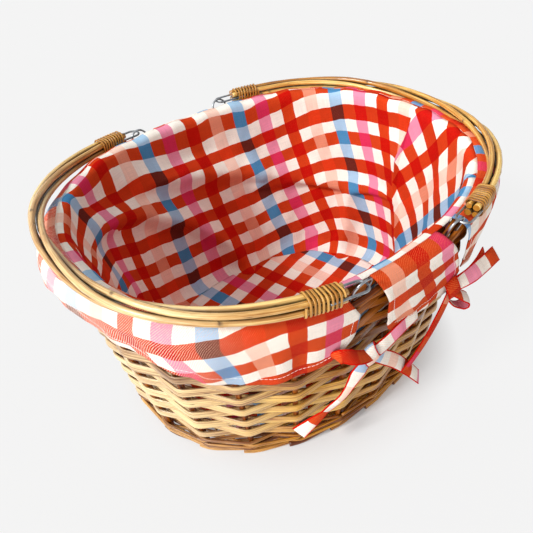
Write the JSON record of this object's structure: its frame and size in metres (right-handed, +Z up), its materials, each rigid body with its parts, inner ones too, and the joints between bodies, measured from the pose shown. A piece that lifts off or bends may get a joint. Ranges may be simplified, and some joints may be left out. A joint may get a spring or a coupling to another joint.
{
  "type": "wicker picnic basket",
  "caption": "Oval woven willow basket with two drop handles on wire hinges and a checked cotton liner that folds over the rim and ties at the handles.",
  "frame": {"origin": "on the floor, under the middle of the basket", "axes": "+X along the basket's length towards the right handle, +Z up"},
  "size_m": [0.3982, 0.32, 0.2163],
  "materials": {
    "straw_willow": "split willow, satin",
    "brown_willow": "round willow rod, semi-gloss",
    "handle_willow": "varnished willow rod",
    "cane": "satin cane",
    "steel_wire": "bright galvanised wire",
    "checked_cotton": "woven check, matt"
  },
  "bodies": {
    "basket": {"base_mat": "straw_willow", "foot_border": "brown_willow", "bottom_wale": "brown_willow", "side_weave": "straw_willow", "stake_01": "brown_willow", "stake_02": "brown_willow", "stake_03": "brown_willow", "stake_04": "brown_willow", "stake_05": "brown_willow", "stake_06": "brown_willow", "stake_07": "brown_willow", "stake_08": "brown_willow", "stake_09": "brown_willow", "stake_10": "brown_willow", "stake_11": "brown_willow", "stake_12": "brown_willow", "stake_13": "brown_willow", "stake_14": "brown_willow", "stake_15": "brown_willow", "stake_16": "brown_willow", "stake_17": "brown_willow", "stake_18": "brown_willow", "stake_19": "brown_willow", "stake_20": "brown_willow", "stake_21": "brown_willow", "stake_22": "brown_willow", "stake_23": "brown_willow", "rim_border": "brown_willow", "left_front_rim_loop": "steel_wire", "left_back_rim_loop": "steel_wire", "right_front_rim_loop": "steel_wire", "right_back_rim_loop": "steel_wire", "liner_floor": "checked_cotton", "liner_wall_front": "checked_cotton", "liner_wall_back": "checked_cotton", "liner_flap_left": "checked_cotton", "liner_flap_right": "checked_cotton", "liner_flap_front": "checked_cotton", "liner_flap_back": "checked_cotton", "tie_front_left": "checked_cotton", "tie_front_right": "checked_cotton", "tie_back_left": "checked_cotton", "tie_back_right": "checked_cotton"},
    "left_handle": {"left_handle_rod_1": "handle_willow", "left_handle_rod_2": "handle_willow", "left_handle_rod_3": "handle_willow", "left_handle_rod_4": "handle_willow", "left_front_binding": "cane", "left_front_handle_eye": "steel_wire", "left_back_binding": "cane", "left_back_handle_eye": "steel_wire"},
    "right_handle": {"right_handle_rod_1": "handle_willow", "right_handle_rod_2": "handle_willow", "right_handle_rod_3": "handle_willow", "right_handle_rod_4": "handle_willow", "right_front_binding": "cane", "right_front_handle_eye": "steel_wire", "right_back_binding": "cane", "right_back_handle_eye": "steel_wire"}
  },
  "joints": [
    {"name": "left_handle_swing", "type": "hinge", "parent": "basket", "child": "left_handle", "pos_m": [-0.053, 0, 0.1985], "axis": [0, 1, 0], "range_deg": [0, 99]},
    {"name": "right_handle_swing", "type": "hinge", "parent": "basket", "child": "right_handle", "pos_m": [0.053, 0, 0.1985], "axis": [0, -1, 0], "range_deg": [0, 104]}
  ]
}
